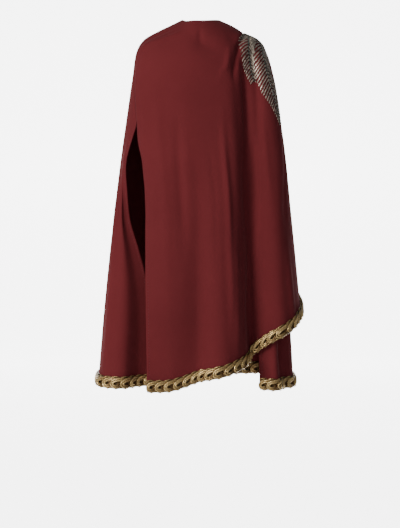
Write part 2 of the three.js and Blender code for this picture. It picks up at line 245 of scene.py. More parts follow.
class Panel:
    """A cut piece of cloth, as a surface over the angle round the figure and the length down."""

    ANGLE_STEP, DOWN_STEP = 0.3, 1.0
    CREASE_STEPS = 80

    def __init__(self, folds, creases, layer=None, aside=None, seams=(), top=0):
        self.folds, self.seams, self.top = folds, seams, top
        self.layer = layer or (lambda angle, down: 0)
        self.aside = aside or (lambda angle, down: 0)
        self.creases = [(crease, *self.crease_line(crease)) for crease in creases]

    def form(self, angle, down):
        """Down the shoulders, and from the chest out to the folds."""
        angle, down = np.broadcast_arrays(np.asarray(angle, float), np.asarray(down, float))
        points = [ring_point(ring, angle) for ring in BODY_RINGS]
        chest, number = points[-1], len(points) - 1
        fold_x = along_table(self.folds, angle, "angle", "x")
        fold_y = along_table(self.folds, angle, "angle", "y")
        for level in LEVELS[number + 1:]:
            part = (level - CHEST_DOWN) / (FULL_LENGTH - CHEST_DOWN)
            spread = part * (1 + EARLY_SPREAD * (1 - part))
            x = chest[..., 0] + (fold_x - chest[..., 0]) * spread
            y = chest[..., 1] + (fold_y - chest[..., 1]) * spread
            points.append(np.stack([x, y, np.full(x.shape, -float(level))], -1))
        before = CHEST_DOWN - LEVELS[number - 1]
        after = WAIST_RING["down"] - CHEST_DOWN
        rise_before = (chest - points[number - 1]) / before
        rise_after = (ring_point(WAIST_RING, angle) - chest) / after
        slope = (rise_before * after + rise_after * before) / (before + after)
        place = [
            smooth_curve(LEVELS, [point[..., axis] for point in points], down, (number, slope[..., axis]))
            for axis in range(3)
        ]
        place[0] = place[0] + self.aside(angle, down)
        return np.stack(place, -1)

    def normal(self, surface, angle, down):
        round_way = surface(angle + self.ANGLE_STEP, down) - surface(angle - self.ANGLE_STEP, down)
        fall_way = surface(angle, down + self.DOWN_STEP) - surface(angle, down - self.DOWN_STEP)
        return unit(np.cross(fall_way, round_way))

    def cloth(self, angle, down):
        """The outer face before its creases."""
        out = self.layer(angle, down) + figure(angle, down) + 0 * down
        return self.form(angle, down) + self.normal(self.form, angle, down) * out[..., None]

    def crease_line(self, crease):
        """Places along a crease, a half width apart, and how high a soft mound each one adds."""
        at = np.linspace(0, 1, self.CREASE_STEPS)
        line = self.cloth(*through_points(crease["points"], at))
        lengths = lengths_along(line)
        count = int(lengths[-1] / crease["half_width"]) + 2
        places = np.linspace(0, lengths[-1], count)
        part = np.interp(places, lengths, at)
        fades = smooth_step(part, 0, crease["fade"]) * smooth_step(1 - part, 0, crease["fade"])
        apart = places[1] / (crease["half_width"] * math.sqrt(math.pi))
        mounds = np.stack([np.interp(places, lengths, line[:, axis]) for axis in range(3)], -1)
        return mounds, crease["height"] * fades * apart

    def crease_heights(self, points):
        flat = points.reshape(-1, 3)
        total = np.zeros(len(flat))
        for crease, mounds, heights in self.creases:
            reach = 3 * crease["half_width"]
            near = ((flat > mounds.min(0) - reach) & (flat < mounds.max(0) + reach)).all(-1)
            close = flat[near]
            for mound, height in zip(mounds, heights):
                total[near] += height * np.exp(-((close - mound) ** 2).sum(-1) / crease["half_width"] ** 2)
        return total.reshape(points.shape[:-1])

    def surface(self, angle, down):
        """The outer face with its creases."""
        points = self.cloth(angle, down)
        return points + self.normal(self.cloth, angle, down) * self.crease_heights(points)[..., None]

    def hem(self, angle):
        return FULL_LENGTH - along_table(self.folds, angle, "angle", "rise")

    def even_angles(self, count, steps=6000):
        """Angles spaced evenly by the length of the hem, and that length."""
        angles = np.linspace(self.folds[0]["angle"], self.folds[-1]["angle"], steps + 1)
        x = along_table(self.folds, angles, "angle", "x")
        y = along_table(self.folds, angles, "angle", "y")
        lengths = np.concatenate([[0], np.cumsum(np.hypot(np.diff(x), np.diff(y)))])
        return np.interp(np.linspace(0, lengths[-1], count + 1), lengths, angles), lengths[-1]

    def column_angle(self, angle, down):
        """Where a column of points stands at a height: the columns near a seam lean to it."""
        moved = angle + 0 * down
        for seam in self.seams:
            lean = 1 - smooth_step(np.abs(angle - seam["foot"]), 0, SEAM_REACH)
            seam_angle = along_table(seam["path"], np.minimum(down, SLIT_TOP), "down", "angle")
            moved = moved + (seam_angle - seam["path"][-1]["angle"]) * lean
        return moved


def drawn_aside(rows, reach):
    """What one edge of the arm slit does to the cloth near it."""
    def aside(angle, down):
        turn = np.clip((angle - SLIT_ANGLE) / reach, -NO_PULL_BEYOND, NO_PULL_BEYOND)
        pull = along_table(rows, np.maximum(down, SLIT_TOP), "down", "aside")
        return pull * np.exp(-turn ** 2)
    return aside


def mesh_object(name, vertices, faces, material=None):
    mesh = bpy.data.meshes.new(name)
    mesh.from_pydata(np.asarray(vertices).reshape(-1, 3).tolist(), [], faces)
    mesh.shade_smooth()
    if material:
        mesh.materials.append(material)
    piece = bpy.data.objects.new(name, mesh)
    bpy.context.scene.collection.objects.link(piece)
    return piece


def give_map(mesh, name, flat):
    """Lays a flat map over a mesh, from one place for each of its points."""
    corners = np.zeros(len(mesh.loops), np.int32)
    mesh.loops.foreach_get("vertex_index", corners)
    mesh.uv_layers.new(name=name).data.foreach_set("uv", flat.reshape(-1, 2)[corners].ravel())


def grid_faces(columns, rows):
    """Quads of a grid whose points run down each column, facing outwards."""
    starts = [i * (rows + 1) + j for i in range(columns) for j in range(rows)]
    return [(k, k + 1, k + rows + 2, k + rows + 1) for k in starts]


def cloth_shell(name, panel, columns, rows, seam_gap, material):
    """The cloth as it hangs: an outer face given its thickness inwards, with a map of the flat cut."""
    foot, hem_length = panel.even_angles(columns)
    end = panel.hem(foot) - HEM_COVERED
    down = panel.top + (end[:, None] - panel.top) * np.linspace(0, 1, rows + 1)
    angle = panel.column_angle(foot[:, None], down)
    points = panel.surface(angle, down)
    seam = np.abs(foot - SLIT_ANGLE) < 1e-6
    step = panel.ANGLE_STEP
    across = panel.form(angle[seam] + step, down[seam]) - panel.form(angle[seam] - step, down[seam])
    points[seam] += unit(across) * seam_gap
    piece = mesh_object(name, points * MM, grid_faces(columns, rows), material)

    radius = CUT_NECK_RADIUS + down
    turn = np.linspace(0, hem_length / (CUT_NECK_RADIUS + FULL_LENGTH), columns + 1)[:, None] + 0 * down
    give_map(piece.data, "cut", np.stack([radius * np.sin(turn), -radius * np.cos(turn)], -1) * MM)

    wall = piece.modifiers.new("Thickness", "SOLIDIFY")
    wall.thickness, wall.offset = CLOTH_THICK * MM, -1
    return piece


class Nodes:
    """Adds nodes to a tree. Each input gets a value, or is joined to another node's output."""

    def __init__(self, tree):
        self.tree = tree

    def feed(self, socket, value):
        if isinstance(value, bpy.types.NodeSocket):
            self.tree.links.new(value, socket)
        else:
            socket.default_value = value

    def add(self, kind, inputs=None, **settings):
        node = self.tree.nodes.new(kind)
        for name, value in settings.items():
            setattr(node, name, value)
        for name, value in (inputs or {}).items():
            self.feed(node.inputs[name], value)
        return node

    def maths(self, operation, *values):
        node = self.tree.nodes.new("ShaderNodeMath")
        node.operation = operation
        for socket, value in zip(node.inputs, values):
            self.feed(socket, value)
        return node.outputs[0]

    def mix_colours(self, part, first, second):
        node = self.tree.nodes.new("ShaderNodeMix")
        node.data_type = "RGBA"
        for number, value in ((0, part), (6, first), (7, second)):
            self.feed(node.inputs[number], value)
        return node.outputs[2]

    def noise(self, coordinates, scale, detail=2.0, roughness=0.5):
        inputs = {"Vector": coordinates, "Scale": scale, "Detail": detail, "Roughness": roughness}
        return self.add("ShaderNodeTexNoise", inputs).outputs["Fac"]

    def spread(self, value, **ends):
        """A value carried onto another range: from_min, from_max, to_min and to_max."""
        inputs = {name.replace("_", " ").title(): end for name, end in ends.items()}
        return self.add("ShaderNodeMapRange", {"Value": value, **inputs}).outputs["Result"]

    def bump(self, shader, height, strength, distance):
        node = self.add("ShaderNodeBump", {"Strength": strength, "Distance": distance, "Height": height})
        self.feed(shader.inputs["Normal"], node.outputs["Normal"])

    def object_place(self):
        return self.add("ShaderNodeTexCoord").outputs["Object"]

    def attribute(self, name, kind="Fac"):
        return self.add("ShaderNodeAttribute", attribute_name=name).outputs[kind]

    def named(self, name, kind="FLOAT"):
        return self.add("GeometryNodeInputNamedAttribute", {"Name": name}, data_type=kind).outputs[0]

    def store(self, geometry, name, value, domain="POINT", kind="FLOAT"):
        inputs = {"Geometry": geometry, "Name": name}
        node = self.add("GeometryNodeStoreNamedAttribute", inputs, data_type=kind, domain=domain)
        self.feed(node.inputs["Value"], value)
        return node.outputs[0]


def node_group(name, kind, sockets):
    """A new node group with its named inputs and outputs: (in or out, name, socket kind, value)."""
    tree = bpy.data.node_groups.new(name, kind)
    for way, label, socket_kind, value in sockets:
        socket = tree.interface.new_socket(label, in_out=way, socket_type="NodeSocket" + socket_kind)
        if value is not None:
            socket.default_value = value
    nodes = Nodes(tree)
    return nodes, nodes.add("NodeGroupInput").outputs, nodes.add("NodeGroupOutput").inputs


def new_material(name):
    material = bpy.data.materials.new(name)
    material.use_nodes = True
    nodes = Nodes(material.node_tree)
    return material, nodes, material.node_tree.nodes["Principled BSDF"]


def uneven_colour_group():
    """A colour that drifts between two tones over the surface, in broad clouds and in small flecks."""
    nodes, given, result = node_group("Uneven colour", "ShaderNodeTree", [
        ("INPUT", "Vector", "Vector", None),
        ("INPUT", "Colour", "Color", (0.5, 0.5, 0.5, 1)),
        ("INPUT", "Other Colour", "Color", (0.5, 0.5, 0.5, 1)),
        ("INPUT", "Cloud Scale", "Float", 5.0),
        ("INPUT", "Fleck Scale", "Float", 400.0),
        ("INPUT", "Flecks", "Float", 0.5),
        ("OUTPUT", "Colour", "Color", None),
        ("OUTPUT", "Mask", "Float", None),
    ])
    cloud = nodes.noise(given["Vector"], given["Cloud Scale"], 3.0)
    fleck = nodes.noise(given["Vector"], given["Fleck Scale"], 2.0)
    fleck_part = nodes.maths("MULTIPLY", nodes.maths("SUBTRACT", fleck, 0.5), given["Flecks"])
    mask = nodes.add("ShaderNodeClamp", {"Value": nodes.maths("ADD", cloud, fleck_part)}).outputs[0]
    nodes.feed(result["Colour"], nodes.mix_colours(mask, given["Colour"], given["Other Colour"]))
    nodes.feed(result["Mask"], mask)
    return nodes.tree


uneven_colour = uneven_colour_group()


def uneven_tones(nodes, place, tones, cloud_scale, fleck_scale, flecks):
    """The uneven colour between two tones, with a material's own scales."""
    return nodes.add("ShaderNodeGroup", {
        "Vector": place, "Colour": tones[0], "Other Colour": tones[1],
        "Cloud Scale": cloud_scale, "Fleck Scale": fleck_scale, "Flecks": flecks,
    }, node_tree=uneven_colour).outputs


def burgundy_wool():
    """Felted wool: a fine twill under a short nap, matt, with a soft light edge."""
    shade, lit = (0.094, 0.0125, 0.0150, 1), (0.130, 0.0185, 0.0215, 1)
    material, nodes, shader = new_material("burgundy_wool")
    place = nodes.object_place()
    cut = nodes.add("ShaderNodeUVMap", uv_map="cut").outputs["UV"]
    colour = uneven_tones(nodes, place, (shade, lit), 4.0, 700.0, 0.9)["Colour"]
    nodes.feed(shader.inputs["Base Color"], colour)

    twill = nodes.add("ShaderNodeTexWave", {"Vector": cut, "Scale": 170.0, "Distortion": 1.5, "Detail": 1.0},
                      bands_direction="DIAGONAL").outputs["Fac"]
    nap = nodes.noise(place, 1100.0, 3.0, 0.65)
    pilling = nodes.noise(place, 160.0, 3.0, 0.6)
    height = nodes.maths("ADD", nodes.maths("MULTIPLY", twill, 0.1), nap)
    height = nodes.maths("ADD", height, nodes.maths("MULTIPLY", pilling, 0.8))
    nodes.bump(shader, height, strength=0.35, distance=0.0008)
    nodes.feed(shader.inputs["Roughness"], nodes.spread(nap, to_min=0.82, to_max=0.98))
    shader.inputs["Specular IOR Level"].default_value = 0.1
    shader.inputs["Sheen Weight"].default_value = 0.10
    shader.inputs["Sheen Roughness"].default_value = 0.4
    shader.inputs["Sheen Tint"].default_value = (0.9, 0.42, 0.42, 1)
    return material


wool = burgundy_wool()
back = Panel(
    BACK_FOLDS, BACK_CREASES,
    aside=drawn_aside(SLIT_SIDE, SLIT_SIDE_REACH),
    seams=[dict(path=RIGHT_SEAM, foot=SLIT_ANGLE), dict(path=LEFT_SEAM, foot=LEFT_EDGE_ANGLE)],
)
back_cloth = cloth_shell("back_cloth", back, BACK_COLUMNS, BACK_ROWS, -SEAM_GAP / 2, wool)
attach(back_cloth, "root")
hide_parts("back")


# The draped front panel
# One piece of the same wool, seamed to the back over the right shoulder, carried across the
# front and over the left shoulder. Its cut hem slants up to the wearer's left.
DRAPE_OUT = 8
DRAPE_LIFTS = (215, 262)
DRAPE_COLUMNS, DRAPE_ROWS = 186, 220
DRAPE_FOLDS = table(
    FOLD_COLUMNS,
    ("free edge at the slit", 203, -160, -212, 0),
    ("front over the right hip", 227, -95, -213, 2),
    ("centre hollow", 263, -10, -190, 26),
    ("centre ridge", 299, 88, -207, 52),
    ("brow of the deep fold", 313, 130, -165, 70),
    ("bottom of the deep fold", 323, 152, -108, 86),
    ("far side of the deep fold", 331, 196, -128, 122),
    ("ridge before the left side", 341, 262, -152, 162),
    ("front of the left side", 350, 308, -95, 194),
    ("left side", 360, 327, -15, 216),
    ("behind the left side", 373, 314, 65, 256),
    ("back ridge", 386, 270, 130, 300),
    ("free back edge", 395, 215, 160, 335),
)
SLIT_FRONT = table(
    "down aside",
    (SLIT_TOP, 0), (375, 11), (412, 22), (470, 25), (570, 19), (750, 10), (FULL_LENGTH, 0),
)
SLIT_FRONT_REACH = 16
DRAPE_CREASES = table(
    CREASE_COLUMNS,
    ("dent below the neck", 9, -3.5, 0.5, [(270, 22), (270, 52), (271, 92)]),
    ("hollow below the neck", 24, -6.5, 0.5, [(238, 30), (262, 62), (288, 95), (302, 120)]),
    ("pull over the chest", 9, 3, 0.45, [(294, 205), (300, 175), (308, 155), (316, 140)]),
    ("crease from the shoulder", 7.5, -9, 0.3,
     [(368, 60), (360, 74), (338, 94), (327, 113), (320.5, 134), (316, 159), (313, 195), (313, 235)]),
    ("lip of that crease", 9, 5, 0.5, [(318, 96), (311, 127), (306.5, 162), (304, 210)]),
    ("cloth gathered behind it", 10, 3.5, 0.5, [(350, 108), (335, 128), (325, 158), (321, 190)]),
    ("roll along the right shoulder", 7, 4.5, 0.3,
     [(236, 32), (226, 58), (213, 92), (201, 130), (193, 172), (190, 215)]),
    ("groove above that roll", 7, -4, 0.4, [(218, 26), (205, 60), (196, 100), (190, 140), (187, 180)]),
    SEAM_GROOVE,
    ("top of the valley", 15, -12, 0.3, VALLEY_TOP),
    ("swell before the valley", 16, 7, 0.35, [(322, 90), (319, 150), (318, 240), (318, 330), (317, 430)]),
    ("bottom of the valley", 13, -5, 0.25, [(328, 330), (327, 450), (325.5, 640), (319, 850), (317, 1030)]),
    ("soft ridge by the slit", 16, 2.5, 0.4, [(216, 180), (222, 330), (228, 560), (226, 900)]),
    ("right trough", 13, -4.5, 0.4, [(240, 250), (243, 400), (245, 560), (247, 760)]),
    ("middle swell", 16, 2, 0.4, [(250, 300), (256, 560), (258, 760)]),
    ("middle trough", 32, -7, 0.4, [(267, 560), (269, 860), (269, 1100)]),
    ("swell below the neck", 42, 7, 0.5, [(254, 132), (276, 136), (300, 142)]),
    ("brow of the deep fold", 16, 9, 0.35, [(306, 560), (306.5, 860), (306, 1060)]),
    ("late trough", 10, -1.5, 0.4, [(280, 340), (288, 560), (287, 860)]),
    ("late ridge", 10, 7, 0.3, [(298, 250), (299, 400), (301.5, 560), (301, 705), (301.5, 860), (300, 1060)]),
    ("trough before the left side", 12, -4, 0.35, [(352, 300), (347, 420), (345, 570), (346, 680)]),
    ("swell beside the left edge", 15, 8, 0.4, [(345.5, 640), (346, 860), (347, 960)]),
    ("ridge before the left side", 11, 3, 0.4, [(331, 230), (333, 330), (335, 480), (338, 640)]),
    ("dip behind the left side", 14, -4, 0.4, [(370, 200), (378, 420), (380, 740)]),
    ("ridge behind the left side", 13, 3.5, 0.4, [(362, 300), (366, 520), (368, 800)]),
    TURNED_SLIT_EDGE,
    ("turned back edge", 5, 0.9, 0.1, [(395, 60), (395, 400), (395, 790)]),
)

drape = Panel(
    DRAPE_FOLDS, DRAPE_CREASES,
    layer=lambda angle, down: DRAPE_OUT * smooth_step(angle, *DRAPE_LIFTS),
    aside=drawn_aside(SLIT_FRONT, SLIT_FRONT_REACH),
    seams=[dict(path=RIGHT_SEAM, foot=SLIT_ANGLE)],
)
drape_cloth = cloth_shell("front_drape_cloth", drape, DRAPE_COLUMNS, DRAPE_ROWS, SEAM_GAP / 2, wool)
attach(drape_cloth, "root")
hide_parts("front_drape")


# The left under front
# The full front on the wearer's left, which hangs straight behind the drape. Only its hem and a
# little of its cloth show, between the drape's slanting hem and the left front edge.
LAP_IN, LAP_SUNK = 3.0, 15
LAP_SINKS = (60, 200)
LAP_ANGLE = 11
UNDER_TOP = 8
UNDER_COLUMNS, UNDER_ROWS = 48, 170
UNDER_FOLDS = table(
    FOLD_COLUMNS,
    ("centre edge", 268, -20, -150, 38),
    ("centre fold", 290, 50, -132, 38),
    ("middle", 305, 105, -104, 38),
    ("hollow", 323, 150, -84, 36),
    ("edge under the side", 333, 215, -78, 36),
)
UNDER_CREASES = table(
    CREASE_COLUMNS,
    ("soft fold", 12, 3, 0.4, [(297, 500), (298, 800), (298, 1090)]),
    ("under the top of the deep fold", 15, -12, 0.3, VALLEY_TOP),
    ("turned centre edge", 5, 0.9, 0.1, [(268, 60), (268, 500), (268, 1080)]),
)

under_front = Panel(
    UNDER_FOLDS, UNDER_CREASES,
    layer=lambda angle, down: -LAP_IN - (LAP_SUNK - LAP_IN) * smooth_step(down, *LAP_SINKS),
    seams=[dict(path=LEFT_SEAM, foot=360 + LEFT_EDGE_ANGLE + LAP_ANGLE)],
    top=UNDER_TOP,
)
under_cloth = cloth_shell("under_front_cloth", under_front, UNDER_COLUMNS, UNDER_ROWS, 0, wool)
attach(under_cloth, "root")
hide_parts("under_front")


# The hand stitching of the turned edges
# Short waxed threads in a row along the left front edge, and finer ones along the arm slit and
# the drape's back edge, where the wool is turned under once and caught down.
STITCH_ROWS = table(
    "name panel angle side inset start end spacing length radius",
    ("left_front_stitches", back, LEFT_EDGE_ANGLE, 1, 9, 345, 1085, 11, 5.2, 0.55),
    ("slit_side_stitches", back, SLIT_ANGLE, -1, 8, 345, 1080, 9, 3.4, 0.4),
    ("slit_front_stitches", drape, SLIT_ANGLE, 1, 8, 345, 1080, 9, 3.4, 0.4),
    ("drape_back_stitches", drape, 395, -1, 8, 40, 750, 9, 3.4, 0.4),
)
ROW_POINTS = 90


def pieces_along_lines_tree():
    """Small rods or round pieces laid end to end along lines on a surface, facing along its normal."""
    nodes, given, result = node_group("Pieces along lines", "GeometryNodeTree", [
        ("INPUT", "Lines", "Geometry", None),
        ("INPUT", "Spacing", "Float", 0.01),
        ("INPUT", "Length", "Float", 0.005),
        ("INPUT", "Radius", "Float", 0.001),
        ("INPUT", "Lift", "Float", 0.0),
        ("INPUT", "Unevenness", "Float", 0.1),
        ("INPUT", "Seed", "Int", 1),
        ("INPUT", "Rods", "Bool", False),
        ("INPUT", "Material", "Material", None),
        ("OUTPUT", "Pieces", "Geometry", None),
    ])
    lines = nodes.add("GeometryNodeMeshToCurve", {"Mesh": given["Lines"]}).outputs[0]
    points = nodes.add("GeometryNodeResampleCurve", mode="LENGTH")
    nodes.feed(points.inputs["Curve"], lines)
    nodes.feed(points.inputs["Length"], given["Spacing"])

    out = nodes.named("out", "FLOAT_VECTOR")
    lift = nodes.add("ShaderNodeVectorMath", {0: out}, operation="SCALE")
    nodes.feed(lift.inputs["Scale"], given["Lift"])
    lifted = nodes.add("GeometryNodeSetPosition", {"Geometry": points.outputs[0], "Offset": lift.outputs[0]})

    ball = nodes.add("GeometryNodeMeshUVSphere", {"Segments": 8, "Rings": 6, "Radius": 1.0}).outputs["Mesh"]
    rod = nodes.add("GeometryNodeMeshCylinder", {"Vertices": 8, "Radius": 1.0, "Depth": 2.0}).outputs["Mesh"]
    shape = nodes.add("GeometryNodeSwitch", {"Switch": given["Rods"], "False": ball, "True": rod},
                      input_type="GEOMETRY").outputs[0]
    tangent = nodes.add("GeometryNodeInputTangent").outputs[0]
    along = nodes.add("FunctionNodeAlignRotationToVector", {"Vector": tangent}, axis="Z").outputs[0]
    facing = nodes.add("FunctionNodeAlignRotationToVector", {"Rotation": along, "Vector": out},
                       axis="X", pivot_axis="Z").outputs[0]

    uneven = nodes.add("FunctionNodeRandomValue", data_type="FLOAT")
    nodes.feed(uneven.inputs[2], nodes.maths("SUBTRACT", 1.0, given["Unevenness"]))
    nodes.feed(uneven.inputs[3], nodes.maths("ADD", 1.0, given["Unevenness"]))
    nodes.feed(uneven.inputs["Seed"], given["Seed"])
    thick = nodes.maths("MULTIPLY", given["Radius"], uneven.outputs[1])
    half = nodes.maths("MULTIPLY", nodes.maths("MULTIPLY", given["Length"], 0.5), uneven.outputs[1])
    scale = nodes.add("ShaderNodeCombineXYZ", {"X": thick, "Y": thick, "Z": half}).outputs[0]
    placed = nodes.add("GeometryNodeInstanceOnPoints", {
        "Points": lifted.outputs[0], "Instance": shape, "Rotation": facing, "Scale": scale,
    }).outputs[0]

    tone = nodes.add("FunctionNodeRandomValue", data_type="FLOAT")
    nodes.feed(tone.inputs["Seed"], nodes.maths("ADD", given["Seed"], 7))
    toned = nodes.store(placed, "tone", tone.outputs[1], domain="INSTANCE")
    real = nodes.add("GeometryNodeRealizeInstances", {"Geometry": toned}).outputs[0]
    finished = nodes.add("GeometryNodeSetMaterial", {"Geometry": real, "Material": given["Material"]})
    nodes.feed(result["Pieces"], finished.outputs[0])
    return nodes.tree


pieces_along_lines = pieces_along_lines_tree()


def keep_normals(mesh, normals):
    """Keeps the cloth's outward normals on a mesh, for the pieces laid along it."""
    out = mesh.attributes.new("out", "FLOAT_VECTOR", "POINT")
    out.data.foreach_set("vector", normals.astype(np.float32).ravel())


def line_object(lines):
    """Lines on a surface: each is a pair of arrays, its points and its outward normals."""
    points = np.concatenate([line[0] for line in lines])
    normals = np.concatenate([line[1] for line in lines])
    edges, first = [], 0
    for line_points, _ in lines:
        edges += [(first + step, first + step + 1) for step in range(len(line_points) - 1)]
        first += len(line_points)
    mesh = bpy.data.meshes.new("lines")
    mesh.from_pydata((points * MM).tolist(), edges, [])
    keep_normals(mesh, normals)
    source = bpy.data.objects.new("lines", mesh)
    bpy.context.scene.collection.objects.link(source)
    return source


def run_tree(name, source, tree, inputs):
    """Runs a geometry tree on an object once, and keeps what it makes as a plain mesh."""
    modifier = source.modifiers.new("Tree", "NODES")
    modifier.node_group = tree
    keys = {item.name: item.identifier for item in tree.interface.items_tree if item.in_out == "INPUT"}
    for label, value in inputs.items():
        modifier[keys[label]] = value
    graph = bpy.context.evaluated_depsgraph_get()
    mesh = bpy.data.meshes.new_from_object(source.evaluated_get(graph), depsgraph=graph)
    mesh.name = name
    piece = bpy.data.objects.new(name, mesh)
    bpy.context.scene.collection.objects.link(piece)
    bpy.data.objects.remove(source)
    return piece


def beside_edge(panel, edge_angle, side, inset, downs):
    """Angles of a line that runs a given distance inside an edge."""
    step = panel.ANGLE_STEP
    edge = edge_angle + 0 * downs
    apart = panel.cloth(edge + step, downs) - panel.cloth(edge - step, downs)
    return edge_angle + side * inset / (np.linalg.norm(apart, axis=-1) / (2 * step))


def wool_thread():
    """Buttonhole thread, a little lighter than the wool."""
    material, nodes, shader = new_material("burgundy_thread")
    place = nodes.object_place()
    tones = (0.05, 0.007, 0.009, 1), (0.17, 0.03, 0.034, 1)
    nodes.feed(shader.inputs["Base Color"], uneven_tones(nodes, place, tones, 90.0, 1500.0, 0.6)["Colour"])
    nodes.bump(shader, nodes.noise(place, 2600.0, 1.0), strength=0.6, distance=0.0003)
    shader.inputs["Roughness"].default_value = 0.55
    return material


thread = wool_thread()
CLOTH_OF = {back: back_cloth, drape: drape_cloth, under_front: under_cloth}
for number, row in enumerate(STITCH_ROWS):
    downs = np.linspace(row["start"], row["end"], ROW_POINTS)
    angles = beside_edge(row["panel"], row["angle"], row["side"], row["inset"], downs)
    line = row["panel"].surface(angles, downs), row["panel"].normal(row["panel"].cloth, angles, downs)
    stitches = run_tree(row["name"], line_object([line]), pieces_along_lines, {
        "Spacing": row["spacing"] * MM, "Length": row["length"] * MM, "Radius": row["radius"] * MM,
        "Unevenness": 0.12, "Seed": number + 1, "Material": thread,
    })
    stitches.parent = CLOTH_OF[row["panel"]]


# The gold braid along every hem
# Passementerie about 40 mm wide: a dark woven tape, its darkness partly painted shade in the gaps, with a
# strand of two twisted gold cords looped over it, a lower strand in the gaps, and a fine cord along each
# edge. It is sewn flat.
BRAID_WIDE = 40
BRAID_REPEAT = 28
GUIDE_HALF_WIDTH = 25
GUIDE_STEPS, GUIDE_ROWS = 8, 12
TAPE_HALF_WIDTH, TAPE_END_SHORT = 16.5, 0.004
TAPE_STEPS, TAPE_ROWS = 6, 6
TAPE_LIFT, TAPE_THICK = 0.4, 0.9
CORD_SIDES = 7
CORD_END = 0.04
CORD_PLIES, CORD_TWIST = 2.0, 1000.0
CORD_STRANDS = table(
    "name steps cords gap reach_along middle reach_across phase height lift radius",
    ("looped strand", 30, 2, 5.6, 17.5, 0.0, 11.4, 0.0, 6.4, 2.6, 3.0),
    ("strand in the gaps", 18, 1, 0.0, 7.0, 0.5, 12.0, math.pi, 2.9, 0.6, 1.7),
    ("cord on the foot", 14, 1, 0.0, 3.5, 17.2, 1.6, 0.0, 2.4, 0.3, 1.6),
    ("cord on the top", 14, 1, 0.0, 3.5, -17.2, 1.4, math.pi, 2.4, 0.3, 1.6),
)
BRAIDS = table(
    "name panel node repeats",
    ("back_braid", back, "back_braid", 50),
    ("drape_braid", drape, "drape_braid", 33),
    ("under_braid", under_front, "under_braid", 9),
)


